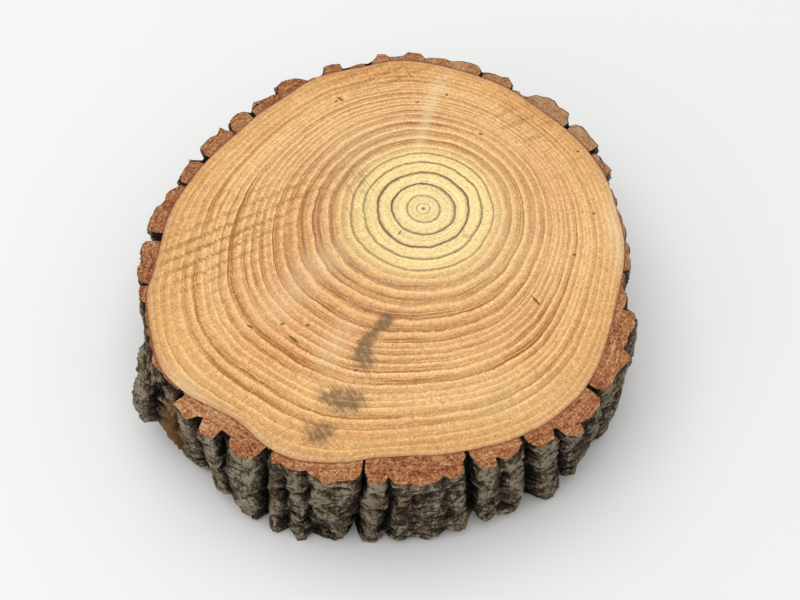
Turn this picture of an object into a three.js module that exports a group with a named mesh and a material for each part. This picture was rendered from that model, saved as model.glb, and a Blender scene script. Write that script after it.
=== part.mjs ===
// A thick round slice sawn from a conifer trunk, with its bark on, lying on one sawn face.
// Wood and bark grew as one piece, so the slice is a single solid: two flat sawn faces and a
// side of bark plates parted by fissures. Millimetres, +Z up, z = 0 on the lower sawn face.

import * as THREE from "three";

// Driving dimensions: height between the sawn faces, and the thin inner bark left on the wood
// where a plate has ended.
const thickness = 86.5;
const innerBark = 2;

// A plate's lower end is a rounded lip, with rows of points above it up to the upper face.
const rowsAboveLip = 7;
const lipHeight = 5;
const lipRound = 2.6;

// Across a plate: degrees between lines of points, and the width and depth of its rounded sides.
const plateStep = 2.8;
const shoulder = 0.3;
const shoulderDrop = 1;

// A fissure's walls are steep: they take up this share of its width, and its floor the rest.
const wallShare = 0.3;

// Trunk under the bark, as [bearing, radius]: bearings run anticlockwise from +X, seen from above.
const trunk = [
  [0, 162.5], [10, 165], [25, 169], [45, 169.5], [60, 174], [75, 176], [87, 177.5],
  [97, 172], [110, 169.5], [120, 161], [132, 156.5], [146, 155.5], [160, 158], [176, 160],
  [190, 169], [200, 171], [210, 176], [218, 172], [231, 161.5], [245, 167], [253, 165],
  [266, 155], [276, 154], [290, 158.5], [305, 165], [320, 166], [335, 160.5], [347, 158.5],
];

// Bark plates in order around the trunk. from and to are the bearings of a plate's two sides on
// the upper face, rim and base its outer radius there and at the ground, groove the radius of the
// fissure that follows it. foot is the height where the plate ends, lean the degrees it moves
// round on its way down, and belly how far it swells between the two faces.
const plates = [
  { from: 16, to: 21.3, rim: 168, base: 174, groove: 168 },
  { from: 25, to: 30.6, rim: 176, base: 181, groove: 172, foot: 6, lean: 1 },
  { from: 32, to: 41, rim: 179.5, base: 183, groove: 173.5, lean: 2 },
  { from: 43, to: 53, rim: 182.5, base: 180, groove: 175, foot: 9, lean: 1 },
  { from: 54.6, to: 59, rim: 174, base: 182, groove: 173, belly: 4 },
  { from: 60, to: 67.4, rim: 182, base: 186, groove: 176, foot: 12, lean: -1 },
  { from: 68.2, to: 74.8, rim: 184.5, base: 188, groove: 180.5, lean: -2 },
  { from: 75.6, to: 81.4, rim: 182, base: 186, groove: 180, foot: 4, lean: -2 },
  { from: 82, to: 87.9, rim: 185, base: 189, groove: 179, lean: -1 },
  { from: 88.8, to: 94.6, rim: 183, base: 184, groove: 174, foot: 14 },
  { from: 95.4, to: 101.8, rim: 175, base: 184, groove: 172, belly: 3 },
  { from: 102.6, to: 106.6, rim: 179, base: 181, groove: 171, foot: 8, lean: 1 },
  { from: 107.4, to: 111.4, rim: 170.5, base: 179, groove: 169, lean: 1 },
  { from: 112.2, to: 119.6, rim: 175, base: 176, groove: 166, foot: 5, lean: 2 },
  { from: 120.6, to: 127, rim: 169, base: 173, groove: 163, lean: 2 },
  { from: 130, to: 135.3, rim: 169, base: 171, groove: 159, foot: 11, lean: 1 },
  { from: 137.6, to: 145.6, rim: 167.5, base: 170, groove: 158, lean: 1 },
  { from: 149.6, to: 156.4, rim: 168, base: 171, groove: 161, foot: 7 },
  { from: 159.6, to: 164.2, rim: 167, base: 173, groove: 164, lean: -1 },
  { from: 164.8, to: 172.6, rim: 170.5, base: 176, groove: 163, foot: 3, lean: -1 },
  { from: 176.6, to: 180.4, rim: 174, base: 178, groove: 168, lean: -2 },
  { from: 181.4, to: 186.6, rim: 172, base: 177, groove: 167, foot: 10, lean: -1 },
  { from: 188, to: 193.6, rim: 173, base: 178, groove: 169 },
  { from: 194.6, to: 200.2, rim: 172.5, base: 177, groove: 171, foot: 4, belly: 1 },
  { from: 200.8, to: 205.6, rim: 175, base: 180, groove: 176, foot: 12, belly: 12 },
  { from: 206, to: 211.2, rim: 177.5, base: 177, groove: 177, foot: 27, belly: 22 },
  { from: 211.8, to: 217.8, rim: 177, base: 184, groove: 172, foot: 10, belly: 5 },
  { from: 219, to: 225, rim: 183.5, base: 183, groove: 173, foot: 8, lean: -1 },
  { from: 226.8, to: 231.8, rim: 184, base: 188, groove: 172, foot: 12, lean: 4 },
  { from: 233.4, to: 241.2, rim: 180.5, base: 186, groove: 167, belly: 2 },
  { from: 243.6, to: 247, rim: 174, base: 188, groove: 172, belly: 2 },
  { from: 247.8, to: 252.4, rim: 175, base: 189, groove: 170, lean: 1 },
  { from: 253.3, to: 261.4, rim: 177, base: 181, groove: 176, lean: -1, belly: 2 },
  { from: 261.8, to: 263.4, rim: 176, base: 174, groove: 161, foot: 24, lean: -1 },
  { from: 265.2, to: 269.6, rim: 174, base: 179, groove: 169, foot: 2, lean: -2, belly: 3 },
  { from: 271.3, to: 274.9, rim: 175, base: 180, groove: 172, foot: 5, lean: -1, belly: 1 },
  { from: 275.5, to: 281.2, rim: 176, base: 178.5, groove: 171, belly: 1 },
  { from: 282, to: 286, rim: 175, base: 177, groove: 161, foot: 7, lean: 2 },
  { from: 289.7, to: 294.6, rim: 174, base: 178, groove: 168, foot: 7, belly: 2 },
  { from: 295.2, to: 300, rim: 173.5, base: 179, groove: 167, foot: 6, belly: 2 },
  { from: 302.6, to: 307.6, rim: 178, base: 182, groove: 170, lean: 3 },
  { from: 309.8, to: 313.6, rim: 184, base: 183, groove: 176, foot: 14, lean: 2 },
  { from: 314.4, to: 320.2, rim: 182, base: 181, groove: 168, foot: 17, lean: 1 },
  { from: 323.6, to: 334, rim: 179.5, base: 177, groove: 171, foot: 5, belly: 2 },
  { from: 335.2, to: 344.4, rim: 175, base: 177, groove: 164, lean: -1, belly: 1 },
  { from: 345.4, to: 349.8, rim: 166, base: 176, groove: 160, foot: 6, belly: 2 },
  { from: 350.6, to: 354.4, rim: 162, base: 170, groove: 160 },
  { from: 356.4, to: 364.4, rim: 166.5, base: 168, groove: 164.5, foot: 8 },
  { from: 365.6, to: 374.6, rim: 165.5, base: 172, groove: 165, lean: 1 },
];

// Radius of the trunk under the bark at a bearing, rounded between the listed points.
function trunkRadius(bearing) {
  const turn = ((bearing % 360) + 360) % 360;
  let next = trunk.findIndex(([listed]) => listed > turn);
  if (next < 0) next = trunk.length;
  const [startBearing, startRadius] = trunk[next - 1];
  const [endBearing, endRadius] = next < trunk.length ? trunk[next] : [360, trunk[0][1]];
  const share = (turn - startBearing) / (endBearing - startBearing);
  return THREE.MathUtils.lerp(startRadius, endRadius, THREE.MathUtils.smoothstep(share, 0, 1));
}

// Uneven growth of the bark, from broad swells down to lumps the size of a thumb.
function unevenness(bearing, z) {
  const swell = 1.1 * Math.sin(0.29 * bearing + 0.055 * z);
  const lump = 0.9 * Math.sin(0.77 * bearing - 0.13 * z + 1.3);
  return swell + lump * Math.cos(0.09 * z + 0.4 * bearing);
}

// One line of points up the side, from the lower face to the upper one.
function column(bearing, { rim, base, foot = 0, lean = 0, belly = 0 }) {
  const points = [];
  const innerRadius = trunkRadius(bearing) + innerBark;
  const add = (z, drop, onPlate) => {
    const up = z / thickness;
    const edge = Math.min(1, (1 - up) * 6);
    const outer = THREE.MathUtils.lerp(base, rim, up) + belly * Math.sin(Math.PI * up);
    const radius = onPlate ? outer - drop + edge * unevenness(bearing, z) : innerRadius;
    const angle = THREE.MathUtils.degToRad(bearing + lean * (1 - up));
    points.push(new THREE.Vector3(radius * Math.cos(angle), radius * Math.sin(angle), z));
  };
  const cutBack = foot > 2;
  add(0, lipRound, !cutBack);
  add(Math.max(foot - 0.8, 0.8), lipRound * 0.6, !cutBack);
  add(Math.max(foot, 1.6) + 0.8, lipRound * 0.5, true);
  const lip = foot + lipHeight;
  for (let row = 0; row < rowsAboveLip; row += 1) {
    add(THREE.MathUtils.lerp(lip, thickness, row / (rowsAboveLip - 1)), 0, true);
  }
  return points;
}

// The lines of points of one plate and of the fissure between it and the next plate.
function plateColumns(plate, next) {
  const columns = [];
  const steps = Math.max(2, Math.round((plate.to - plate.from) / plateStep));
  const side = { ...plate, rim: plate.rim - shoulderDrop, base: plate.base - shoulderDrop };
  columns.push(column(plate.from, side));
  for (let step = 0; step <= steps; step += 1) {
    const share = step / steps;
    const bearing = THREE.MathUtils.lerp(plate.from + shoulder, plate.to - shoulder, share);
    columns.push(column(bearing, plate));
  }
  columns.push(column(plate.to, side));
  const gap = next.from - plate.to;
  const lean = ((plate.lean ?? 0) + (next.lean ?? 0)) / 2;
  const fissure = { rim: plate.groove, base: plate.groove, lean };
  columns.push(column(plate.to + gap * wallShare, fissure));
  columns.push(column(next.from - gap * wallShare, fissure));
  return columns;
}

function barkColumns() {
  return plates.flatMap((plate, index) => {
    const following = plates[(index + 1) % plates.length];
    const wraps = index + 1 === plates.length;
    const next = wraps ? { ...following, from: following.from + 360 } : following;
    return plateColumns(plate, next);
  });
}

// The closed solid: the side as a grid of quads, and a flat fan around the middle of each face.
// Every bearing from the middle meets the bark once, so no two triangles of a fan overlap.
function sliceGeometry() {
  const columns = barkColumns();
  const rows = columns[0].length;
  const points = columns.flat();
  const lowerMiddle = points.push(new THREE.Vector3(0, 0, 0)) - 1;
  const upperMiddle = points.push(new THREE.Vector3(0, 0, thickness)) - 1;
  const triangles = [];
  columns.forEach((_, index) => {
    const here = index * rows;
    const there = ((index + 1) % columns.length) * rows;
    for (let row = 0; row < rows - 1; row += 1) {
      triangles.push(here + row, there + row, there + row + 1);
      triangles.push(here + row, there + row + 1, here + row + 1);
    }
    triangles.push(lowerMiddle, there, here);
    triangles.push(upperMiddle, here + rows - 1, there + rows - 1);
  });
  const geometry = new THREE.BufferGeometry().setFromPoints(points);
  geometry.setIndex(triangles);
  geometry.computeVertexNormals();
  return geometry;
}

// The origin is the middle of the slice's outline, on the lower sawn face.
function centred(geometry) {
  geometry.computeBoundingBox();
  const middle = geometry.boundingBox.getCenter(new THREE.Vector3());
  return geometry.translate(-middle.x, -middle.y, 0);
}

const barkAndWood = new THREE.MeshStandardMaterial({ color: 0xd9a566, roughness: 0.8, metalness: 0 });
const slice = new THREE.Mesh(centred(sliceGeometry()), barkAndWood);
slice.name = "log_slice";

const woodLog = new THREE.Group();
woodLog.add(slice);

export default woodLog;
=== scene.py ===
import math

import bpy
import numpy as np
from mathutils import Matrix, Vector, noise
from mathutils.bvhtree import BVHTree


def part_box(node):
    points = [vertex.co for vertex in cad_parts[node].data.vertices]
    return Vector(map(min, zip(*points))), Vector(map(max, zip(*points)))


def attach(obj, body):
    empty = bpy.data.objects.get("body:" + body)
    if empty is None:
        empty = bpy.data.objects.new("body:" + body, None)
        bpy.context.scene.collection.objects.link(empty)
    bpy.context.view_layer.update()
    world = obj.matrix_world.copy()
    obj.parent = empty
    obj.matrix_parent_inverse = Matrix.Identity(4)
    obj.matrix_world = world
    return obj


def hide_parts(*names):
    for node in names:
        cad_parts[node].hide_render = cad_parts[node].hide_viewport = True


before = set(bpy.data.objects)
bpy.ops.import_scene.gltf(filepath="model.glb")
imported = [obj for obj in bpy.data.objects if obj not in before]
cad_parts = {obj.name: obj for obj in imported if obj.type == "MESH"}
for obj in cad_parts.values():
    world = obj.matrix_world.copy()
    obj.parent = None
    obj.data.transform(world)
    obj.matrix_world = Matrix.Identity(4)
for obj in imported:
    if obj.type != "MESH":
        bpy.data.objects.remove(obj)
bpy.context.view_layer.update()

# ---------------------------------------------------------------------------------------------
# The wood: heartwood and sapwood of a fast-grown conifer, in one piece from sawn face to sawn
# face. A chainsaw cut both faces across the grain, so each shows every year's ring around the
# pith. Sizes here are millimetres, turned to metres where a mesh is made.

MM = 0.001
slice_low, slice_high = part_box("log_slice")
THICKNESS = (slice_high.z - slice_low.z) / MM
MIDDLE = np.array([2.2, -4.8])
PITH = np.array([25.7, 35.2])

# Trunk under the bark: bearing in degrees anticlockwise from +X, and radius about MIDDLE.
TRUNK = [
    (0, 162.5), (5, 164), (15, 165), (25, 169), (35, 170), (50, 170), (60, 174), (68, 174.5),
    (76, 175.5), (84, 177.5), (91, 177), (96, 172), (103, 171), (110, 170), (115, 165),
    (120, 161), (128, 158.5), (136, 155), (146, 155.5), (157, 157), (166, 159.5), (178, 160),
    (185, 163), (190, 169), (196, 170), (204, 173), (209, 176), (214, 175), (219, 172),
    (225, 166), (231, 161.5), (236, 162), (241, 167), (249, 168), (255, 164), (261, 160.5),
    (266, 155), (275, 154), (282, 156.5), (290, 158.5), (298, 162.5), (308, 165.5), (320, 166),
    (328, 163.5), (336, 160), (345, 158.5), (353, 160),
]

# Where each year's growth ends, in millimetres from the pith before the trunk's outline stretches
# it, and how dark its latewood is.
YEARS = [
    (2.2, 0.6), (4.8, 1.0), (12.3, 0.8), (23.2, 1.0), (33.5, 1.0), (43.5, 0.75), (52.8, 0.75),
    (59, 0.6), (68.5, 0.95), (79.8, 0.95), (91, 1.0), (100.8, 0.85), (108.5, 0.85), (112.3, 0.6),
    (117.5, 0.75), (123.3, 0.7), (129.7, 0.8), (138.5, 0.95), (145.2, 0.7), (149.6, 0.5),
    (154, 0.6), (162, 0.85), (169, 0.75), (176, 0.5), (182, 0.6), (186.5, 0.5), (190, 0.3),
]
LAST_YEAR = YEARS[-1][0]

# Wood mesh: segments around the pith, millimetres between rows on the upper and the lower face,
# and rows down the edge. Outlines are worked out every quarter of a degree.
WOOD_SEGMENTS = 480
ROW_STEP = 2.3
UNDER_STEP = ROW_STEP * 1.6
EDGE_ROWS = 6
FINE_STEP = 0.25
PITH_LATEWOOD = 0.7

# Rings inside the trunk are rounder than its outline: each is averaged over these degrees.
EASED_OVER = (-10, -6, -3, 0, 3, 6, 10)


def bell_curve(width, reach):
    """Weights of a bell curve that many samples wide, cut off at a reach, which add up to 1."""
    weights = np.exp(-0.5 * (np.arange(-reach, reach + 1) / width) ** 2)
    return weights / weights.sum()


def closed_outline(listed, bearings):
    """Radius at each bearing, rounded between the listed points of a closed outline."""
    known = np.array([(b - 360, r) for b, r in listed] + listed + [(b + 360, r) for b, r in listed])
    fine = np.arange(-30, 390, FINE_STEP)
    radii = np.interp(fine, known[:, 0], known[:, 1])
    radii = np.convolve(radii, bell_curve(8, 24), mode="same")
    return np.interp(np.mod(bearings, 360), fine, radii)


def reach_from_pith(turns):
    """Distance from the pith to the bark in each direction, in degrees, seen from above."""
    bearings = np.arange(0, 360, FINE_STEP)
    radii = closed_outline(TRUNK, bearings)
    angle = np.radians(bearings)
    edge = MIDDLE + np.column_stack([radii * np.cos(angle), radii * np.sin(angle)]) - PITH
    seen = np.degrees(np.arctan2(edge[:, 1], edge[:, 0])) % 360
    order = np.argsort(seen)
    reach = np.hypot(edge[:, 0], edge[:, 1])[order]
    return np.interp(np.mod(turns, 360), seen[order], reach, period=360)


def smooth(low, high, value):
    """0 below low, 1 above high, and an even S between them. It falls if low is the larger."""
    share = np.clip((value - low) / (high - low), 0, 1)
    return share * share * (3 - 2 * share)


def ring_radius(near, turns):
    """Distance from the pith, in each direction, of the ring that would be near millimetres from
    it if the trunk were round. The first rings are round, and each later one is more like the
    trunk's outline."""
    like_trunk = smooth(0, 1, near / LAST_YEAR)
    return near * (1 + like_trunk * (reach_from_pith(turns) / LAST_YEAR - 1))


def growth_rows(step):
    """Rows from the pith to the bark, as (unstretched distance, years grown, latewood): one on
    each year's end and more between them, about a step apart."""
    rows = []
    inner = 0
    for year, (outer, strength) in enumerate(YEARS):
        count = max(2, round((outer - inner) / step))
        for k in range(1, count + 1):
            rows.append((inner + (outer - inner) * k / count, year + k / count, strength))
        inner = outer
    return rows


last = growth_rows(ROW_STEP)[-1]
top_rows = [(*row, THICKNESS) for row in growth_rows(ROW_STEP)]
edge_rows = [(*last, THICKNESS * (1 - k / EDGE_ROWS)) for k in range(1, EDGE_ROWS)]
under_rows = [(*row, 0) for row in reversed(growth_rows(UNDER_STEP))]
wood_rows = top_rows + edge_rows + under_rows

bpy.ops.object.select_all(action="DESELECT")
bpy.ops.mesh.primitive_uv_sphere_add(
    segments=WOOD_SEGMENTS, ring_count=len(wood_rows) + 1, radius=1, calc_uvs=False
)
wood = bpy.context.object
wood.name = "wood"


def grid_place(mesh, count):
    """Which segment and which row each vertex of the sphere is in, with row 0 at the top pole."""
    points = np.empty(len(mesh.vertices) * 3)
    mesh.vertices.foreach_get("co", points)
    points = points.reshape(-1, 3)
    turns = np.degrees(np.arctan2(points[:, 1], points[:, 0])) % 360
    rows = np.round(np.arccos(np.clip(points[:, 2], -1, 1)) / math.pi * (count + 1)).astype(int)
    return turns, rows


turns, rows = grid_place(wood.data, len(wood_rows))
table = np.array(
    [(0, 0, PITH_LATEWOOD, THICKNESS)] + wood_rows + [(0, 0, PITH_LATEWOOD, 0)], float
)
near, years, strength, height = table[rows].T
eased = [(turns + away) % 360 for away in EASED_OVER]
inside = smooth(1.0, 0.92, near / LAST_YEAR)
radius = ring_radius(near, turns)
radius += inside * (sum(ring_radius(near, around) for around in eased) / len(eased) - radius)
flat = PITH + np.column_stack([radius * np.cos(np.radians(turns)), radius * np.sin(np.radians(turns))])
wood.data.vertices.foreach_set("co", (np.column_stack([flat, height]) * MM).ravel())


def store(mesh, name, values):
    """Keeps one number per vertex on the mesh, for its material to read."""
    layer = mesh.attributes.new(name, "FLOAT", "POINT")
    layer.data.foreach_set("value", np.asarray(values, np.float32))


def blot(flat, x, y, along, across, heading):
    """1 in the middle of an oval patch on a sawn face and 0 well outside it. The patch's long
    axis lies at the heading, in degrees from +X."""
    turn = math.radians(heading)
    dx, dy = flat[:, 0] - x, flat[:, 1] - y
    u = (dx * math.cos(turn) + dy * math.sin(turn)) / along
    v = (dy * math.cos(turn) - dx * math.sin(turn)) / across
    return np.exp(-(u * u + v * v))


# Patches on the upper face, as x, y, half length, half width, heading and strength.
PALE = [
    (28, 22, 62, 54, 0, 0.6), (29, 118, 42, 4, 77, 1.0), (42, 150, 22, 5, 60, 0.5),
    (-48, -12, 26, 12, 35, 0.75), (-73, -45, 22, 12, 35, 0.6), (-35, -77, 26, 9, 70, 0.6),
    (166, 12, 10, 44, 5, 1.5), (-133, -112, 26, 12, -38, 0.7), (-100, -140, 40, 8, -22, 0.6),
    (75, -120, 60, 14, 12, 0.3), (-20, 95, 40, 26, 60, 0.25),
]
DEEP = [
    (-62, 8, 62, 26, 65, 0.6), (-30, -50, 52, 34, 20, 0.55), (70, -58, 60, 26, -20, 0.35),
    (112, 60, 26, 40, 0, 0.3), (-75, -88, 40, 22, -30, 0.45), (0, 160, 60, 12, 5, 0.55),
    (105, 125, 46, 14, -40, 0.4), (-130, -10, 18, 60, 5, 0.15), (-10, -142, 60, 10, 0, 0.45),
]
GRIME = [
    (0, -57, 7, 6, 70, 1.0), (-8, -66, 13, 5, 50, 0.9), (-14, -78, 9, 7, 80, 0.8),
    (-15, -90, 11, 10, 0, 0.8), (-34, -117, 14, 10, -20, 1.0), (-21, -119, 12, 9, 10, 0.85),
    (-42, -143, 12, 9, 15, 1.1), (-58, -100, 8, 4, -10, 0.4), (-20, 60, 22, 10, -60, 0.5),
    (52, 12, 10, 4, 5, 0.45),
]
SAWN = [
    (-115, 0, 60, 40, 25, 0.7), (108, 106, 60, 26, -50, 1.0), (-55, -140, 44, 14, -20, 1.0),
    (10, 160, 50, 14, 0, 0.9), (-30, 50, 40, 24, -60, 0.8), (60, -80, 110, 60, 0, 0.3),
]
STRIPED = [(-122, 2, 52, 30, 27, 1.1), (-66, 50, 34, 16, 27, 0.7), (-10, 156, 46, 16, 10, 0.8)]
# Spots and cracks on the upper face, as x, y, half length, half width and heading.
SPOTS = [
    (-35, 135, 3.4, 1.3, -35), (-38, 133, 2.2, 0.8, 50), (22, 132, 1.6, 1.0, 10),
    (44, 139, 1.6, 1.0, 60), (68, 102, 1.7, 1.2, 0), (146, 31, 1.5, 1.0, 40),
    (138, 86, 1.7, 0.9, 20), (130, -4, 1.6, 1.1, 0), (-70, -60, 1.8, 1.2, 30),
    (-53, -61, 1.6, 1.0, 0), (102, -42, 5.5, 1.1, -55), (-62, -72, 5, 1.1, -40),
    (9, 14.7, 2.6, 0.7, 55), (25.7, 35.2, 1.4, 1.2, 0), (-92, -62, 2.6, 0.9, -30), (-20, -96, 2, 1, 10),
]
upper = (height > THICKNESS / 2).astype(float)
patches = {"pale": PALE, "deep": DEEP, "grime": GRIME, "sawn": SAWN, "striped": STRIPED}
for name, listed in patches.items():
    amount = sum(s * blot(flat, x, y, a, b, h) for x, y, a, b, h, s in listed)
    store(wood.data, name, np.clip(amount, 0, 1) * upper)
store(wood.data, "growth", years)
store(wood.data, "ring_mm", near)

# On the far side, latewood fades by a tenth between 60 and 110 mm from the pith.
far_side = 0.5 + 0.5 * np.cos(np.radians(turns - 75))
store(wood.data, "latewood", strength * (1 - 0.1 * far_side * smooth(60, 110, near)))


def linear(hex_colour):
    """An sRGB hex colour as the linear colour that a shader takes."""
    channels = [int(hex_colour[k:k + 2], 16) / 255 for k in (1, 3, 5)]
    return [c / 12.92 if c <= 0.04045 else ((c + 0.055) / 1.055) ** 2.4 for c in channels] + [1]


def add(tree, kind, inputs=None, ramp=None, **settings):
    """Adds a node with its settings, and fills its inputs with values, hex colours or links. A
    ramp is a list of (place, colour) stops."""
    made = tree.nodes.new(kind)
    for name, value in settings.items():
        setattr(made, name, value)
    for name, value in (inputs or {}).items():
        if isinstance(value, bpy.types.NodeSocket):
            tree.links.new(value, made.inputs[name])
        else:
            made.inputs[name].default_value = linear(value) if isinstance(value, str) else value
    if ramp:
        stops = made.color_ramp.elements
        while len(stops) < len(ramp):
            stops.new(0.5)
        for stop, (place, colour) in zip(stops, ramp):
            stop.position = place
            stop.color = linear(colour) if isinstance(colour, str) else [colour] * 3 + [1]
    return made


# Sawn conifer end grain, dry and unsealed: pale earlywood, and a harder, browner band of latewood
# that darkens outwards and stops short at the end of each year. The eye sees rings, thin and
# sharp around the pith and broad and soft outside it, crossed by faint saw marks.
sawn_wood = bpy.data.materials.new("sawn_end_grain")
sawn_wood.use_nodes = True
tree = sawn_wood.node_tree
shader = tree.nodes["Principled BSDF"]
place = add(tree, "ShaderNodeTexCoord").outputs["Object"]
layers = {
    name: add(tree, "ShaderNodeAttribute", attribute_name=name).outputs["Fac"]
    for name in ("growth", "ring_mm", "latewood", "pale", "deep", "grime", "sawn", "striped")
}

# A ring wavers by about half a millimetre over 20 mm, and by less over 5 mm.
waver = add(
    tree, "ShaderNodeTexNoise", {"Vector": place, "Scale": 55, "Detail": 5, "Roughness": 0.62}
).outputs["Fac"]
waver = add(
    tree, "ShaderNodeMath", {0: waver, 1: 0.5, 2: -0.25}, operation="MULTIPLY_ADD"
).outputs[0]
growth = add(tree, "ShaderNodeMath", {0: layers["growth"], 1: waver}, operation="ADD").outputs[0]
season = add(tree, "ShaderNodeMath", {0: growth}, operation="FRACT").outputs[0]
young = add(
    tree, "ShaderNodeValToRGB", {"Fac": season},
    ramp=[
        (0, 0.5), (0.03, 0), (0.5, 0.0), (0.53, 0.12), (0.56, 0.0), (0.73, 0.05), (0.76, 0.4),
        (0.79, 0.1), (0.81, 0.3), (0.84, 1), (0.98, 1), (1, 0.6),
    ],
).outputs["Color"]
old = add(
    tree, "ShaderNodeValToRGB", {"Fac": season},
    ramp=[
        (0, 0.5), (0.05, 0), (0.22, 0.14), (0.38, 0.58), (0.55, 0.8), (0.84, 0.88), (0.9, 1),
        (0.97, 1), (1, 0.5),
    ],
).outputs["Color"]
age = add(
    tree, "ShaderNodeMapRange", {"Value": growth, "From Min": 6.6, "From Max": 8}
).outputs["Result"]
latewood = add(tree, "ShaderNodeMix", {0: age, 2: young, 3: old}, data_type="FLOAT").outputs[0]

# Rings fade in and out along their length, over about 60 mm.
fade = add(tree, "ShaderNodeTexNoise", {"Vector": place, "Scale": 18, "Detail": 3}).outputs["Fac"]
fade = add(
    tree, "ShaderNodeMapRange", {"Value": fade, "From Min": 0.32, "From Max": 0.62, "To Min": 0.65}
).outputs["Result"]
latewood = add(
    tree, "ShaderNodeMath", {0: latewood, 1: layers["latewood"]}, operation="MULTIPLY"
).outputs[0]
fade = add(tree, "ShaderNodeMix", {0: age, 2: 1.0, 3: fade}, data_type="FLOAT").outputs[0]
latewood = add(tree, "ShaderNodeMath", {0: latewood, 1: fade}, operation="MULTIPLY").outputs[0]

# Fine layers within a year, about 1.2 mm apart and drawn out along the ring.
along = add(tree, "ShaderNodeSeparateXYZ", {0: place})
layer_depth = add(
    tree, "ShaderNodeMath", {0: waver, 1: 9, 2: layers["ring_mm"]}, operation="MULTIPLY_ADD"
).outputs[0]
drawn_x = add(
    tree, "ShaderNodeMath", {0: along.outputs["X"], 1: 18}, operation="MULTIPLY"
).outputs[0]
drawn_y = add(
    tree, "ShaderNodeMath", {0: along.outputs["Y"], 1: 18}, operation="MULTIPLY"
).outputs[0]
layer_place = add(
    tree, "ShaderNodeCombineXYZ", {"X": layer_depth, "Y": drawn_x, "Z": drawn_y}
).outputs["Vector"]
layering = add(
    tree, "ShaderNodeTexNoise", {"Vector": layer_place, "Scale": 0.8, "Detail": 3, "Roughness": 0.68}
).outputs["Fac"]
lines = add(
    tree, "ShaderNodeMapRange",
    {"Value": layering, "From Min": 0.4, "From Max": 0.6, "To Min": 0.3, "To Max": 1.5},
).outputs["Result"]
banded = add(tree, "ShaderNodeMath", {0: latewood, 1: lines}, operation="MULTIPLY").outputs[0]
latewood = add(tree, "ShaderNodeMix", {0: age, 2: latewood, 3: banded}, data_type="FLOAT").outputs[0]

stage_of_life = add(
    tree, "ShaderNodeMath", {0: growth, 1: len(YEARS)}, operation="DIVIDE"
).outputs[0]
earlywood_colour = add(
    tree, "ShaderNodeValToRGB", {"Fac": stage_of_life},
    ramp=[
        (0, "#FBE09C"), (0.22, "#FADC96"), (0.32, "#F8CB8C"), (0.5, "#FAC88C"), (0.75, "#FACA8B"),
        (0.93, "#EEBB79"), (0.985, "#D9AA74"), (1, "#AC774F"),
    ],
).outputs["Color"]
latewood_colour = add(
    tree, "ShaderNodeValToRGB", {"Fac": stage_of_life},
    ramp=[(0, "#5C3A10"), (0.22, "#694216"), (0.32, "#9A5C25"), (0.6, "#A4652B"), (1, "#AC7036")],
).outputs["Color"]
colour = add(
    tree, "ShaderNodeMix", {0: latewood, 6: earlywood_colour, 7: latewood_colour}, data_type="RGBA"
).outputs[2]

# Rays: fibres that run straight out from the pith, about 1.5 mm apart near the bark.
from_pith = add(
    tree, "ShaderNodeVectorMath", {0: place, 1: (*(PITH * MM), 0)}, operation="SUBTRACT"
).outputs["Vector"]
outwards = add(tree, "ShaderNodeVectorMath", {0: from_pith}, operation="NORMALIZE").outputs["Vector"]
ray_place = add(
    tree, "ShaderNodeVectorMath", {0: outwards, 1: (110, 110, 0)}, operation="MULTIPLY"
).outputs["Vector"]
ray_place = add(
    tree, "ShaderNodeVectorMath", {0: from_pith, 1: (30, 30, 30), 2: ray_place},
    operation="MULTIPLY_ADD",
).outputs["Vector"]
rays = add(
    tree, "ShaderNodeTexNoise", {"Vector": ray_place, "Scale": 1, "Detail": 3, "Roughness": 0.6}
).outputs["Fac"]

# Torn ends of the fibres, drawn at 1 mm because the real half millimetre is too fine to show.
grain = add(
    tree, "ShaderNodeTexNoise", {"Vector": place, "Scale": 850, "Detail": 2, "Roughness": 0.7}
).outputs["Fac"]


def brushed(tree, heading, spacing, length, detail):
    """Straight streaks at a heading in degrees, with their spacing and length in millimetres."""
    turned = add(
        tree, "ShaderNodeMapping",
        {"Vector": place, "Rotation": (0, 0, math.radians(heading)),
         "Scale": (length * MM, spacing * MM, length * MM)},
        vector_type="TEXTURE",
    ).outputs["Vector"]
    streaks = {"Vector": turned, "Scale": 1, "Detail": detail, "Roughness": 0.6}
    return add(tree, "ShaderNodeTexNoise", streaks).outputs["Fac"]


# Chain marks: scratches 3 to 3.5 mm apart in two directions, and broken stripes that the chain
# left on the left-hand side and the far edge.
scratches = add(
    tree, "ShaderNodeMath", {0: brushed(tree, 27, 3.5, 30, 3), 1: brushed(tree, -58, 3, 24, 3)},
    operation="MAXIMUM",
).outputs[0]
scratches = add(
    tree, "ShaderNodeMapRange", {"Value": scratches, "From Min": 0.56, "From Max": 0.68}
).outputs["Result"]
scratches = add(
    tree, "ShaderNodeMath", {0: scratches, 1: layers["sawn"]}, operation="MULTIPLY"
).outputs[0]
tilted = add(
    tree, "ShaderNodeMapping", {"Vector": place, "Rotation": (0, 0, math.radians(27))},
    vector_type="TEXTURE",
).outputs["Vector"]
stripes = add(
    tree, "ShaderNodeTexWave",
    {"Vector": tilted, "Scale": 34, "Distortion": 1.2, "Detail": 3, "Detail Scale": 2.5,
     "Detail Roughness": 0.7},
    bands_direction="Y",
).outputs["Fac"]
stripes = add(
    tree, "ShaderNodeMath", {0: brushed(tree, -50, 1.5, 5, 2), 1: 2.2, 2: stripes},
    operation="MULTIPLY_ADD",
).outputs[0]
stripes = add(
    tree, "ShaderNodeMapRange", {"Value": stripes, "From Min": 1.78, "From Max": 2.05}
).outputs["Result"]
stripes = add(
    tree, "ShaderNodeMath", {0: stripes, 1: layers["striped"]}, operation="MULTIPLY"
).outputs[0]

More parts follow.
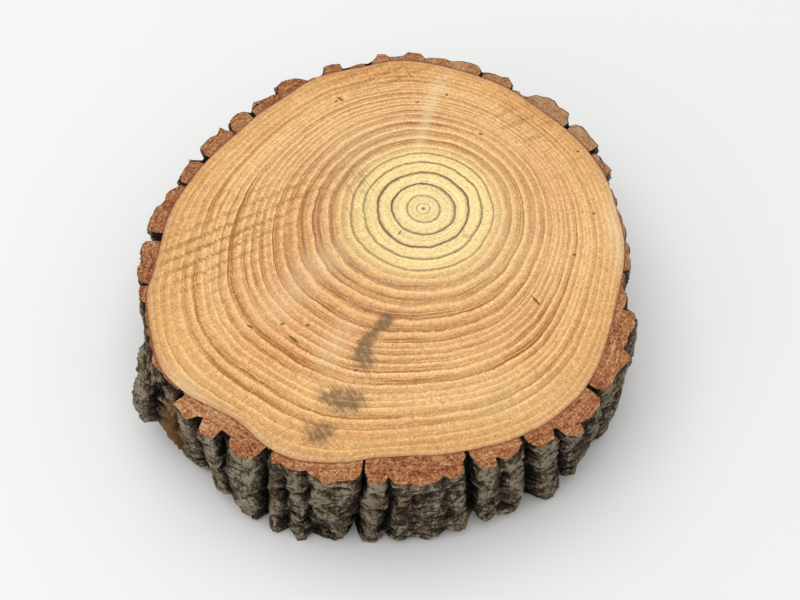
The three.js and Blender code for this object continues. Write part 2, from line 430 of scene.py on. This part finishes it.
# Resin canals: dots of up to 1.5 mm, drawn larger than the real ones so that they show.
canals = add(tree, "ShaderNodeTexVoronoi", {"Vector": place, "Scale": 210})
chosen = add(tree, "ShaderNodeSeparateColor", {0: canals.outputs["Color"]}).outputs["Red"]
canals = add(
    tree, "ShaderNodeMath", {0: chosen, 1: -0.2, 2: canals.outputs["Distance"]},
    operation="MULTIPLY_ADD",
).outputs[0]
canals = add(
    tree, "ShaderNodeMapRange", {"Value": canals, "From Min": 0.0, "From Max": -0.1, "To Max": 0.5}
).outputs["Result"]

# Torn fibres 1.3 mm apart, lying both ways.
torn = add(
    tree, "ShaderNodeMath", {0: brushed(tree, 40, 1.3, 5, 2), 1: brushed(tree, -48, 1.3, 5, 2)},
    operation="MAXIMUM",
).outputs[0]

# One tone that all of the fine textures lift or lower around 1.
weights = ((layering, 0.95), (rays, 0.4), (grain, 1.3), (torn, 0.6))
tone = 1 - 0.5 * sum(weight for texture, weight in weights)
for texture, weight in weights:
    tone = add(
        tree, "ShaderNodeMath", {0: texture, 1: weight, 2: tone}, operation="MULTIPLY_ADD"
    ).outputs[0]
colour = add(
    tree, "ShaderNodeVectorMath", {0: colour, "Scale": tone}, operation="SCALE"
).outputs["Vector"]
deep = add(tree, "ShaderNodeMath", {0: layers["deep"], 1: 0.5}, operation="MULTIPLY").outputs[0]
colour = add(
    tree, "ShaderNodeMix", {0: deep, 6: colour, 7: "#ECB693"},
    data_type="RGBA", blend_type="MULTIPLY",
).outputs[2]
pale = add(tree, "ShaderNodeMath", {0: layers["pale"], 1: lines}, operation="MULTIPLY").outputs[0]
pale = add(tree, "ShaderNodeMath", {0: pale, 1: 0.4}, operation="MULTIPLY").outputs[0]
colour = add(tree, "ShaderNodeMix", {0: pale, 6: colour, 7: "#F7E6B8"}, data_type="RGBA").outputs[2]
fibres = add(
    tree, "ShaderNodeMapRange", {"Value": torn, "From Min": 0.62, "From Max": 0.76, "To Max": 0.45}
).outputs["Result"]
colour = add(
    tree, "ShaderNodeMix", {0: fibres, 6: colour, 7: "#FBE7BE"}, data_type="RGBA"
).outputs[2]
faint_scratches = add(
    tree, "ShaderNodeMath", {0: scratches, 1: 0.55}, operation="MULTIPLY"
).outputs[0]
colour = add(
    tree, "ShaderNodeMix", {0: faint_scratches, 6: colour, 7: "#9C7040"}, data_type="RGBA"
).outputs[2]
stripes = add(tree, "ShaderNodeMath", {0: stripes, 1: 0.65}, operation="MULTIPLY").outputs[0]
colour = add(
    tree, "ShaderNodeMix", {0: stripes, 6: colour, 7: "#97682F"}, data_type="RGBA"
).outputs[2]
colour = add(
    tree, "ShaderNodeMix", {0: canals, 6: colour, 7: "#7C4A1E"}, data_type="RGBA"
).outputs[2]

# Small resin spots and short drying cracks: x, y, half length, half width and heading.
for x, y, long, wide, heading in SPOTS:
    centred = add(
        tree, "ShaderNodeMapping",
        {"Vector": place, "Location": (x * MM, y * MM, 0), "Rotation": (0, 0, math.radians(heading)),
         "Scale": (long * MM, wide * MM, 1)},
        vector_type="TEXTURE",
    ).outputs["Vector"]
    away = add(tree, "ShaderNodeVectorMath", {0: centred}, operation="LENGTH").outputs["Value"]
    away = add(
        tree, "ShaderNodeMath", {0: grain, 1: -1.2, 2: away}, operation="MULTIPLY_ADD"
    ).outputs[0]
    spot = add(
        tree, "ShaderNodeMapRange",
        {"Value": away, "From Min": 0.45, "From Max": 0.1, "To Max": 0.8},
    ).outputs["Result"]
    colour = add(
        tree, "ShaderNodeMix", {0: spot, 6: colour, 7: "#5A4026"}, data_type="RGBA"
    ).outputs[2]

# Brown-grey saw grime sits in dapples of 2 to 4 mm, brushed along the chain's path.
dapple = add(
    tree, "ShaderNodeTexNoise", {"Vector": place, "Scale": 230, "Detail": 4, "Roughness": 0.7}
).outputs["Fac"]
dapple = add(
    tree, "ShaderNodeMath", {0: brushed(tree, -58, 1.8, 9, 2), 1: 0.9, 2: dapple},
    operation="MULTIPLY_ADD",
).outputs[0]
grime = add(
    tree, "ShaderNodeMath", {0: layers["grime"], 1: 0.75, 2: dapple}, operation="MULTIPLY_ADD"
).outputs[0]
grime = add(
    tree, "ShaderNodeMapRange", {"Value": grime, "From Min": 1.2, "From Max": 1.72, "To Max": 0.78}
).outputs["Result"]
colour = add(
    tree, "ShaderNodeMix", {0: grime, 6: colour, 7: "#6B563E"}, data_type="RGBA"
).outputs[2]
tree.links.new(colour, shader.inputs["Base Color"])
shader.inputs["Roughness"].default_value = 0.78
shader.inputs["Specular IOR Level"].default_value = 0.25

relief = layering
for texture, weight in ((latewood, 0.1), (grain, 1.2), (scratches, -1.0), (torn, 0.8)):
    relief = add(
        tree, "ShaderNodeMath", {0: texture, 1: weight, 2: relief}, operation="MULTIPLY_ADD"
    ).outputs[0]
bump = add(tree, "ShaderNodeBump", {"Height": relief, "Strength": 0.5, "Distance": 0.0004})
tree.links.new(bump.outputs["Normal"], shader.inputs["Normal"])
wood.data.materials.append(sawn_wood)
bpy.ops.object.shade_smooth_by_angle(angle=math.radians(40))
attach(wood, "root")
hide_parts("log_slice")

# ---------------------------------------------------------------------------------------------
# The bark: a ring of cork plates that grew on the wood, parted by deep fissures and weathered to
# a rough grey crust. Its cut ends on the two sawn faces show the red-brown cork inside. It grips
# the wood with no gap, and only a thin darker line of inner bark shows between them.

# Bark mesh: columns around the slice, and rows up the side, across the upper cut, down the hidden
# inner wall and across the lower cut.
BARK_COLUMNS = 960
SIDE_ROWS = 76
TOP_ROWS = 9
INNER_ROWS = 4
UNDER_ROWS = 6
CRUST_SEED = 5

# In millimetres: the cork's cut ends are set back from the wood's, and its inner side is tucked
# into the wood. Bark stands at least LEAST_BARK out, except where the designed side is within
# BARE_WITHIN of the trunk and the wood is bare. Cuts stay level within LEVEL_WITHIN of a sawn
# face, and the designed side is read no nearer to one than CAD_EDGE.
SET_BACK = 0.15
TUCK = 1.2
LEAST_BARK = 1.2
BARE_WITHIN = 1
LEVEL_WITHIN = 6
CAD_EDGE = 0.7

# In millimetres: bark of FULL_CORK counts as the cork's full depth. A fissure is dark right to the
# wood where it runs in by NOTCH_DEPTH at the rim and the cork left in it is as thin as THIN_CORK.
FULL_CORK = 20
THIN_CORK = (7, 4.5)
NOTCH_DEPTH = (1, 3)

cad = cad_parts["log_slice"].data
tree_of_faces = BVHTree.FromPolygons(
    [v.co.copy() for v in cad.vertices], [tuple(p.vertices) for p in cad.polygons]
)
fine_bearings = np.arange(0, 360, FINE_STEP)
side_heights = np.linspace(SET_BACK, THICKNESS - SET_BACK, SIDE_ROWS)


def plate_radius(bearing, height):
    """Outer radius of the designed plates at a bearing and height, in millimetres."""
    angle = math.radians(bearing)
    height = min(max(height, CAD_EDGE), THICKNESS - CAD_EDGE)
    start = Vector((MIDDLE[0] * MM, MIDDLE[1] * MM, height * MM))
    hit = tree_of_faces.ray_cast(start, Vector((math.cos(angle), math.sin(angle), 0)))
    return hit[3] / MM


def rounded_around(rings, width, reach):
    """Closed rings of radii, each rounded by a bell curve that many samples wide."""
    wrapped = np.concatenate([rings[:, -reach:], rings, rings[:, :reach]], axis=1)
    weights = bell_curve(width, reach)
    return np.array([np.convolve(ring, weights, mode="valid") for ring in wrapped])


designed = np.array([[plate_radius(b, z) for b in fine_bearings] for z in side_heights])
designed = rounded_around(designed, 0.8, 6)

# Plates are crisp at the top cut and more rounded lower down, where the weather has worn them.
rounded = rounded_around(designed, 4, 12)
lower = 0.7 * smooth(THICKNESS - 8, THICKNESS * 0.3, side_heights)[:, None]
designed += lower * (np.maximum(rounded, designed - 6) - designed)

# Columns crowd together on the walls of the fissures, where the outline runs inwards.
CROWDING = 0.55
columns_at = np.empty((SIDE_ROWS, BARK_COLUMNS))
for row in range(SIDE_ROWS):
    ring = designed[row]
    run = np.hypot(np.roll(ring, -1) - ring, ring * math.radians(FINE_STEP))
    share = np.concatenate([[0], np.cumsum(run)]) / run.sum()
    even = np.linspace(0, 1, len(share))
    crowded = CROWDING * share + (1 - CROWDING) * even
    columns_at[row] = np.interp(np.arange(BARK_COLUMNS) / BARK_COLUMNS, crowded, even * 360)
steady = bell_curve(2.5, 6)
padded = np.pad(columns_at, ((6, 6), (0, 0)), mode="edge")
columns_at = np.array(
    [(padded[row:row + 13] * steady[:, None]).sum(axis=0) for row in range(SIDE_ROWS)]
)
side_radius = np.array(
    [np.interp(columns_at[row], fine_bearings, designed[row], period=360) for row in range(SIDE_ROWS)]
)


def around(bearings, radii, heights):
    """Points at bearings and radii about the middle of the slice, in millimetres."""
    angle = np.radians(bearings)
    x = MIDDLE[0] + radii * np.cos(angle)
    y = MIDDLE[1] + radii * np.sin(angle)
    return np.stack([x, y, np.broadcast_to(heights, x.shape)], axis=-1)


side = around(columns_at, side_radius, side_heights[:, None])


def outward(points):
    """Unit normals of the side, and flat ones near the sawn faces so that the cuts stay level."""
    across = np.roll(points, -1, axis=1) - np.roll(points, 1, axis=1)
    upward = np.gradient(points, axis=0)
    normals = np.cross(across, upward)
    from_face = np.minimum(points[..., 2], THICKNESS - points[..., 2])
    normals /= np.linalg.norm(normals, axis=-1, keepdims=True)
    normals[..., 2] *= np.clip(from_face / LEVEL_WITHIN, 0, 1)
    return normals


def flakes(point, width, height, crack):
    """Flat-topped flakes of about that width and height, in millimetres, parted by cracks: how
    far a point stands out, from 0 in a crack to 1, and how far its flake is lifted."""
    scaled = Vector((point.x / width, point.y / width, point.z / height))
    near, seeds = noise.voronoi(scaled)
    dome = smooth(0, crack, near[1] - near[0])
    tilt = (scaled - seeds[0]).dot(noise.noise_vector(seeds[0] * 3.1))
    return dome, noise.noise(seeds[0] * 2.3) + 1.6 * tilt


def crust(point):
    """How far the crust stands out at a point on the side, in millimetres, and how open to the
    weather it is, which the colour also uses as painted shade in the cracks and painted highlight
    on the lifted flakes: plates the size of a thumbnail, broken into smaller and smaller flakes.
    Their outlines are bent by 3 mm over 13 mm, and by 1.3 mm over 3 mm."""
    x, y, z = point
    bent = Vector(point) + 3.0 * noise.noise_vector(Vector((x / 13, y / 13, z / 20)))
    bent += 1.3 * noise.noise_vector(Vector((x / 3.2, y / 3.2, z / 4)))
    big, big_lift = flakes(bent, 17, 30, 0.1)
    middle, middle_lift = flakes(bent, 7, 13, 0.16)
    small, small_lift = flakes(bent, 3.6, 5, 0.25)
    out = 2.2 * big + 1.1 * middle + 0.5 * small
    out += 1.6 * big_lift + 0.8 * middle_lift + 0.5 * small_lift
    return out - 3.1, 0.4 * big + 0.35 * middle + 0.25 * small + 0.15 * small_lift


# noise_vector takes its offsets from the clock unless a seed is set, and the crust has to be the
# same every time.
noise.seed_set(CRUST_SEED)
worked = np.array([[crust(p) for p in row] for row in side])
relief_mm, weathering_and_shade = worked[..., 0], worked[..., 1]
bare = side_radius < closed_outline(TRUNK, columns_at) + BARE_WITHIN
side = side + outward(side) * relief_mm[..., None]
grit_mm = np.array([[noise.fractal(Vector(p) / 3.2, 0.7, 2.1, 4) for p in row] for row in side])
side = side + outward(side) * 1.1 * grit_mm[..., None]
side[..., 2] = np.clip(side[..., 2], SET_BACK, THICKNESS - SET_BACK)
side[0, :, 2] = SET_BACK
side[-1, :, 2] = THICKNESS - SET_BACK


def polar(points):
    """Bearing and radius of points about the middle of the slice."""
    x, y = np.moveaxis(points[..., :2] - MIDDLE, -1, 0)
    return np.degrees(np.arctan2(y, x)) % 360, np.hypot(x, y)


# The bark never ends inside the wood, except where it has come off and the wood is bare.
bearings, reach = polar(side)
held = np.maximum(reach, closed_outline(TRUNK, bearings) + LEAST_BARK)
side = np.where(bare[..., None], side, around(bearings, held, side[..., 2]))


def cut_face(rim, count, height):
    """Rows of the cork's cut end, from the rim in to just inside the wood."""
    bearings, reach = polar(rim)
    inner = closed_outline(TRUNK, bearings) - TUCK * 0.6
    made = []
    for k in range(1, count + 1):
        radii = reach + (np.minimum(inner, reach - 0.4) - reach) * k / count
        made.append(around(bearings, radii, height))
    return made


upper_cut = cut_face(side[-1], TOP_ROWS, THICKNESS - SET_BACK)
under_cut = cut_face(side[0], UNDER_ROWS, SET_BACK)[::-1]
inner_wall = []
for k in range(1, INNER_ROWS + 1):
    share = k / (INNER_ROWS + 1)
    between = upper_cut[-1] * (1 - share) + under_cut[0] * share
    bearings, reach = polar(between)
    inside_wood = np.minimum(reach, closed_outline(TRUNK, bearings)) - TUCK
    inner_wall.append(around(bearings, inside_wood, between[:, 2]))
profile = np.concatenate([side, np.array(upper_cut), np.array(inner_wall), np.array(under_cut)])

bpy.ops.object.select_all(action="DESELECT")
bpy.ops.mesh.primitive_torus_add(
    major_segments=BARK_COLUMNS, minor_segments=len(profile), major_radius=2, minor_radius=1,
    generate_uvs=False,
)
bark = bpy.context.object
bark.name = "bark"
points = np.empty(len(bark.data.vertices) * 3)
bark.data.vertices.foreach_get("co", points)
points = points.reshape(-1, 3)
column = np.round(np.arctan2(points[:, 1], points[:, 0]) / math.tau * BARK_COLUMNS).astype(int)
column %= BARK_COLUMNS
ring = np.arctan2(points[:, 2], np.hypot(points[:, 0], points[:, 1]) - 2)
row = np.round(ring / math.tau * len(profile)).astype(int) % len(profile)
bark.data.vertices.foreach_set("co", (profile[row, column] * MM).ravel())


def blurred(values, across, down):
    """A grid around the side, averaged over that many columns and rows to each side."""
    wide = np.concatenate([values[:, -across:], values, values[:, :across]], axis=1)
    wide = np.cumsum(np.pad(wide, ((0, 0), (1, 0))), axis=1)
    values = (wide[:, 2 * across + 1:] - wide[:, :-2 * across - 1]) / (2 * across + 1)
    tall = np.pad(values, ((down, down), (0, 0)), mode="edge")
    tall = np.cumsum(np.pad(tall, ((1, 0), (0, 0))), axis=0)
    return (tall[2 * down + 1:] - tall[:-2 * down - 1]) / (2 * down + 1)


# Painted shade: a point lies in a hollow where it is deeper than the bark within 12 mm of it, and its
# colour is darkened there as if by shade.
reach = polar(side)[1]
hollow_shade = np.clip((blurred(blurred(reach, 7, 7), 7, 7) - reach) / 5, -0.5, 1)
# The crust's tone at each point on the side is lighter on lifted flakes and grit and darker in cracks
# and hollows. Over the crust's own grey, this is painted highlight and painted shade.
relief_tone_and_shade = np.zeros(profile.shape[:2])
relief_tone_and_shade[:SIDE_ROWS] = np.clip(0.25 + 0.5 * weathering_and_shade + 0.14 * grit_mm - 0.6 * hollow_shade, 0, 1)
thickness_out = np.zeros(profile.shape[:2])
for k, line in enumerate(profile):
    bearings, reach = polar(line)
    thickness_out[k] = reach - closed_outline(TRUNK, bearings)
store(bark.data, "relief_tone_and_shade", relief_tone_and_shade[row, column])
store(bark.data, "rim", (row == SIDE_ROWS - 1) * 1.0)
rim_bearings, rim_reach = polar(side[-1:])
rim_cork = (rim_reach - closed_outline(TRUNK, rim_bearings))[0]
notched = smooth(*NOTCH_DEPTH, blurred(rim_reach, 9, 0)[0] - rim_reach[0])
notched *= smooth(*THIN_CORK, rim_cork)
store(bark.data, "notch", notched[column])


def patch(bearings, heights, listed):
    """1 in the middle of patches on the side, given as bearing, height, half width in degrees,
    half height and strength."""
    amount = np.zeros_like(heights)
    for bearing, level, wide, tall, strength in listed:
        away = (bearings - bearing + 180) % 360 - 180
        amount += strength * np.exp(-((away / wide) ** 2) - ((heights - level) / tall) ** 2)
    return np.clip(amount, 0, 1)


# Where the crust has come off and brown inner bark shows, and where the cut cork has faded.
bark_bearings = polar(profile)[0][row, column]
bark_heights = profile[row, column, 2]
store(bark.data, "stripped", patch(bark_bearings, bark_heights, [
    (217, 30, 3.5, 60, 1.0), (288, 12, 3, 12, 0.7), (335, 50, 4, 30, 0.5), (96, 40, 4, 50, 0.8),
    (150, 30, 3, 40, 0.6),
]))
store(bark.data, "faded", patch(bark_bearings, bark_heights, [
    (48, THICKNESS, 26, 9, 1.0), (5, THICKNESS, 16, 9, 0.7),
]))
store(bark.data, "cork_depth", np.clip(thickness_out / FULL_CORK, 0, 1)[row, column])

# A face is part of a cut if none of its corners is on the side, its rims apart.
on_cut = (row >= SIDE_ROWS - 1) | (row == 0)
loop_rows = on_cut[[corner for face in bark.data.polygons for corner in face.vertices]]
sawn_faces = bark.data.attributes.new("sawn", "FLOAT", "FACE")
sawn_faces.data.foreach_set("value", loop_rows.reshape(-1, 4).all(axis=1).astype(np.float32))

# Weathered conifer bark: dry cork with a grey, scaly crust, brown to red where flakes have come
# off, and nearly black in the fissures, which is partly painted shade; the lifted flakes carry
# painted highlights. No gloss at all. Sawn across, the cork is terracotta with fine wavy layers
# and pale torn fibres.
weathered_bark = bpy.data.materials.new("weathered_bark")
weathered_bark.use_nodes = True
tree = weathered_bark.node_tree
shader = tree.nodes["Principled BSDF"]
place = add(tree, "ShaderNodeTexCoord").outputs["Object"]
relief_tone_and_shade = add(tree, "ShaderNodeAttribute", attribute_name="relief_tone_and_shade").outputs["Fac"]
cork_depth = add(tree, "ShaderNodeAttribute", attribute_name="cork_depth").outputs["Fac"]

# Crust, with lumps of 1.5 to 4 mm and blotches of 25 to 60 mm.
upright = add(
    tree, "ShaderNodeMapping", {"Vector": place, "Scale": (1, 1, 0.6)}
).outputs["Vector"]
lumps = add(
    tree, "ShaderNodeTexNoise", {"Vector": upright, "Scale": 420, "Detail": 5, "Roughness": 0.72}
).outputs["Fac"]
blotches = add(
    tree, "ShaderNodeTexNoise", {"Vector": upright, "Scale": 26, "Detail": 4, "Roughness": 0.6}
).outputs["Fac"]
tints = add(
    tree, "ShaderNodeTexNoise", {"Vector": upright, "Scale": 17, "Detail": 3, "W": 4.0},
    noise_dimensions="4D",
).outputs["Fac"]

# Small flakes of 4 and 10 mm with hair cracks between them, each a little lighter or darker.
wander = add(
    tree, "ShaderNodeTexNoise", {"Vector": upright, "Scale": 210, "Detail": 3, "Roughness": 0.7}
).outputs["Color"]
flake_place = add(
    tree, "ShaderNodeVectorMath", {0: wander, 1: (0.007, 0.007, 0.007), 2: upright},
    operation="MULTIPLY_ADD",
).outputs["Vector"]
# The crust's tone mixes its own lumps and flakes with the painted highlight and painted shade read from
# the mesh.
height = add(
    tree, "ShaderNodeMath", {0: lumps, 1: 1.5, 2: relief_tone_and_shade}, operation="MULTIPLY_ADD"
).outputs[0]
height = add(tree, "ShaderNodeMath", {0: height, 1: 0.75}, operation="SUBTRACT").outputs[0]
for scale, width in ((240, 0.1), (100, 0.06)):
    flake = add(tree, "ShaderNodeTexVoronoi", {"Vector": flake_place, "Scale": scale})
    flake_tone = add(tree, "ShaderNodeSeparateColor", {0: flake.outputs["Color"]}).outputs["Red"]
    edge = add(
        tree, "ShaderNodeTexVoronoi", {"Vector": flake_place, "Scale": scale},
        feature="DISTANCE_TO_EDGE",
    ).outputs["Distance"]
    height = add(
        tree, "ShaderNodeMath", {0: flake_tone, 1: 0.16, 2: height}, operation="MULTIPLY_ADD"
    ).outputs[0]
    edge = add(tree, "ShaderNodeMapRange", {"Value": edge, "From Max": width}).outputs["Result"]
    height = add(
        tree, "ShaderNodeMath", {0: edge, 1: 0.2, 2: height}, operation="MULTIPLY_ADD"
    ).outputs[0]
height = add(tree, "ShaderNodeMath", {0: height, 1: 0.5}, operation="SUBTRACT").outputs[0]
# Painted light: the crust's tone rises towards the upper cut and falls towards the bottom, as if the
# light caught the upper plates.
level = add(tree, "ShaderNodeSeparateXYZ", {0: place}).outputs["Z"]
painted_top_light = add(
    tree, "ShaderNodeMapRange",
    {"Value": level, "From Min": 0.03, "From Max": THICKNESS * MM, "To Min": -0.08, "To Max": 0.08},
).outputs["Result"]
height = add(tree, "ShaderNodeMath", {0: height, 1: painted_top_light}, operation="ADD").outputs[0]
crust_colour = add(
    tree, "ShaderNodeValToRGB", {"Fac": height},
    ramp=[
        (0.18, "#050302"), (0.34, "#241A11"), (0.5, "#42362A"), (0.74, "#685B4A"), (1.0, "#B3A58D"),
    ],
).outputs["Color"]
brown = add(
    tree, "ShaderNodeMapRange",
    {"Value": blotches, "From Min": 0.52, "From Max": 0.68, "To Max": 0.75},
).outputs["Result"]
crust_colour = add(
    tree, "ShaderNodeMix", {0: brown, 6: crust_colour, 7: "#B8846A"},
    data_type="RGBA", blend_type="MULTIPLY",
).outputs[2]
stripped = add(tree, "ShaderNodeAttribute", attribute_name="stripped").outputs["Fac"]
stripped_light = add(
    tree, "ShaderNodeMapRange",
    {"Value": height, "From Min": 0.2, "From Max": 0.8, "To Min": 0.35, "To Max": 1.2},
).outputs["Result"]
stripped_colour = add(
    tree, "ShaderNodeMix", {0: 1.0, 6: "#8A6238", 7: stripped_light},
    data_type="RGBA", blend_type="MULTIPLY",
).outputs[2]
stripped = add(
    tree, "ShaderNodeMapRange", {"Value": stripped, "From Min": 0.3, "From Max": 0.8}
).outputs["Result"]
crust_colour = add(
    tree, "ShaderNodeMix", {0: stripped, 6: crust_colour, 7: stripped_colour}, data_type="RGBA"
).outputs[2]
green = add(
    tree, "ShaderNodeMapRange", {"Value": tints, "From Min": 0.55, "From Max": 0.7, "To Max": 0.45}
).outputs["Result"]
crust_colour = add(
    tree, "ShaderNodeMix", {0: green, 6: crust_colour, 7: "#C9CBA0"},
    data_type="RGBA", blend_type="MULTIPLY",
).outputs[2]

# Cut cork, with layers 1 to 2 mm thick that follow the trunk, and torn fibres.
wave = add(tree, "ShaderNodeTexNoise", {"Vector": place, "Scale": 45, "Detail": 4}).outputs["Fac"]
layer_place = add(
    tree, "ShaderNodeMath", {0: wave, 1: 0.35, 2: cork_depth}, operation="MULTIPLY_ADD"
).outputs[0]
along = add(tree, "ShaderNodeSeparateXYZ", {0: place})
layer_depth = add(tree, "ShaderNodeMath", {0: layer_place, 1: 20}, operation="MULTIPLY").outputs[0]
drawn_x = add(
    tree, "ShaderNodeMath", {0: along.outputs["X"], 1: 70}, operation="MULTIPLY"
).outputs[0]
drawn_y = add(
    tree, "ShaderNodeMath", {0: along.outputs["Y"], 1: 70}, operation="MULTIPLY"
).outputs[0]
layer_vector = add(
    tree, "ShaderNodeCombineXYZ", {"X": layer_depth, "Y": drawn_x, "Z": drawn_y}
).outputs["Vector"]
cork_layers = add(
    tree, "ShaderNodeTexNoise", {"Vector": layer_vector, "Scale": 1, "Detail": 3, "Roughness": 0.65}
).outputs["Fac"]
cork_grain = add(
    tree, "ShaderNodeTexNoise", {"Vector": place, "Scale": 620, "Detail": 3, "Roughness": 0.75}
).outputs["Fac"]
cork_torn = add(
    tree, "ShaderNodeMath", {0: brushed(tree, 45, 1.2, 6, 2), 1: brushed(tree, -45, 1.2, 6, 2)},
    operation="MAXIMUM",
).outputs[0]
cork_tone = add(
    tree, "ShaderNodeMath", {0: cork_grain, 1: 1.7, 2: cork_layers}, operation="MULTIPLY_ADD"
).outputs[0]
cork_tone = add(
    tree, "ShaderNodeMath", {0: cork_torn, 1: 0.6, 2: cork_tone}, operation="MULTIPLY_ADD"
).outputs[0]
cork_tone = add(
    tree, "ShaderNodeMath", {0: blotches, 1: 0.6, 2: cork_tone}, operation="MULTIPLY_ADD"
).outputs[0]
cork_shade = add(
    tree, "ShaderNodeMapRange", {"Value": cork_tone, "From Min": 1.5, "From Max": 2.5}
).outputs["Result"]
cork_colour = add(
    tree, "ShaderNodeValToRGB", {"Fac": cork_shade},
    ramp=[
        (0.1, "#5E2F1E"), (0.33, "#A3613F"), (0.5, "#C2804F"), (0.65, "#D59A6A"), (0.85, "#EFCBA0"),
    ],
).outputs["Color"]
faded = add(tree, "ShaderNodeAttribute", attribute_name="faded").outputs["Fac"]
faded_fibres = add(
    tree, "ShaderNodeMapRange",
    {"Value": cork_tone, "From Min": 1.6, "From Max": 2.3, "To Min": 0.15, "To Max": 0.75},
).outputs["Result"]
faded = add(tree, "ShaderNodeMath", {0: faded, 1: faded_fibres}, operation="MULTIPLY").outputs[0]
cork_colour = add(
    tree, "ShaderNodeMix", {0: faded, 6: cork_colour, 7: "#C9A67C"}, data_type="RGBA"
).outputs[2]
inner_bark = add(
    tree, "ShaderNodeMapRange", {"Value": cork_depth, "From Max": 0.09, "To Min": 0.85, "To Max": 0}
).outputs["Result"]
cork_colour = add(
    tree, "ShaderNodeMix", {0: inner_bark, 6: cork_colour, 7: "#8A5140"}, data_type="RGBA"
).outputs[2]
is_cut = add(tree, "ShaderNodeAttribute", attribute_name="sawn").outputs["Fac"]
rim = add(tree, "ShaderNodeAttribute", attribute_name="rim").outputs["Fac"]
# The cut takes the crust's colour along its rim, in blotches and in the notches of the fissures, where
# it is dark right to the wood.
crust_on_cut = add(
    tree, "ShaderNodeMath", {0: rim, 1: 0.8, 2: blotches}, operation="MULTIPLY_ADD"
).outputs[0]
notch = add(tree, "ShaderNodeAttribute", attribute_name="notch").outputs["Fac"]
crust_on_cut = add(tree, "ShaderNodeMath", {0: crust_on_cut, 1: notch}, operation="ADD").outputs[0]
cork_on_cut = add(
    tree, "ShaderNodeMapRange",
    {"Value": crust_on_cut, "From Min": 0.95, "From Max": 1.15, "To Min": 1, "To Max": 0},
).outputs["Result"]
is_cut = add(tree, "ShaderNodeMath", {0: is_cut, 1: cork_on_cut}, operation="MULTIPLY").outputs[0]
colour = add(
    tree, "ShaderNodeMix", {0: is_cut, 6: crust_colour, 7: cork_colour}, data_type="RGBA"
).outputs[2]
tree.links.new(colour, shader.inputs["Base Color"])
shader.inputs["Roughness"].default_value = 0.92
shader.inputs["Specular IOR Level"].default_value = 0.2
rough = add(
    tree, "ShaderNodeTexNoise", {"Vector": upright, "Scale": 900, "Detail": 5, "Roughness": 0.75}
).outputs["Fac"]
bump_height = add(
    tree, "ShaderNodeMath", {0: height, 1: 1.6, 2: rough}, operation="MULTIPLY_ADD"
).outputs[0]
bump_height = add(
    tree, "ShaderNodeMix", {0: is_cut, 2: bump_height, 3: cork_tone}, data_type="FLOAT"
).outputs[0]
bump = add(tree, "ShaderNodeBump", {"Height": bump_height, "Strength": 0.9, "Distance": 0.0014})
tree.links.new(bump.outputs["Normal"], shader.inputs["Normal"])
bark.data.materials.append(weathered_bark)
bpy.ops.object.shade_smooth_by_angle(angle=math.radians(50))
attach(bark, "root")
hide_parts("log_slice")

# ---------------------------------------------------------------------------------------------
# The studio: a plain pale floor that the slice lies on, a wide soft light overhead and a weaker
# one on the left, and the camera, 1.1 m away and looking down at 58 degrees.

bpy.ops.object.select_all(action="DESELECT")
bpy.ops.mesh.primitive_plane_add(size=12, location=(0, 0, 0))
floor = bpy.context.object
floor.name = "floor"
pale_floor = bpy.data.materials.new("pale_floor")
pale_floor.use_nodes = True
pale_floor.node_tree.nodes["Principled BSDF"].inputs["Base Color"].default_value = linear("#F6F6F5")
pale_floor.node_tree.nodes["Principled BSDF"].inputs["Roughness"].default_value = 0.9
floor.data.materials.append(pale_floor)

# Each light's place, side in metres, power in watts and tilt in degrees.
lights = {
    "overhead": ((-0.3, 0.1, 2.2), 2.4, 27, (-4, -8, 0)),
    "left_fill": ((-1.7, -1.3, 0.9), 1.2, 5, (68, 0, -52)),
}
for name, (location, size, power, tilt) in lights.items():
    bpy.ops.object.light_add(
        type="AREA", location=location, rotation=[math.radians(angle) for angle in tilt]
    )
    lamp = bpy.context.object
    lamp.name = name
    lamp.data.size = size
    lamp.data.energy = power

world = bpy.data.worlds.new("studio")
world.use_nodes = True
world.node_tree.nodes["Background"].inputs["Color"].default_value = linear("#FFFFFF")
world.node_tree.nodes["Background"].inputs["Strength"].default_value = 0.58
bpy.context.scene.world = world
bpy.context.scene.view_settings.view_transform = "Standard"

CAMERA_PLACE = (0.0092, -0.5921, 0.965)
CAMERA_TILT = math.radians(32.1)
LENS_MM = 68.6
SENSOR_MM = 36
bpy.ops.object.camera_add(location=CAMERA_PLACE, rotation=(CAMERA_TILT, 0, 0))
camera = bpy.context.object
camera.data.lens = LENS_MM
camera.data.sensor_width = SENSOR_MM
bpy.context.scene.camera = camera
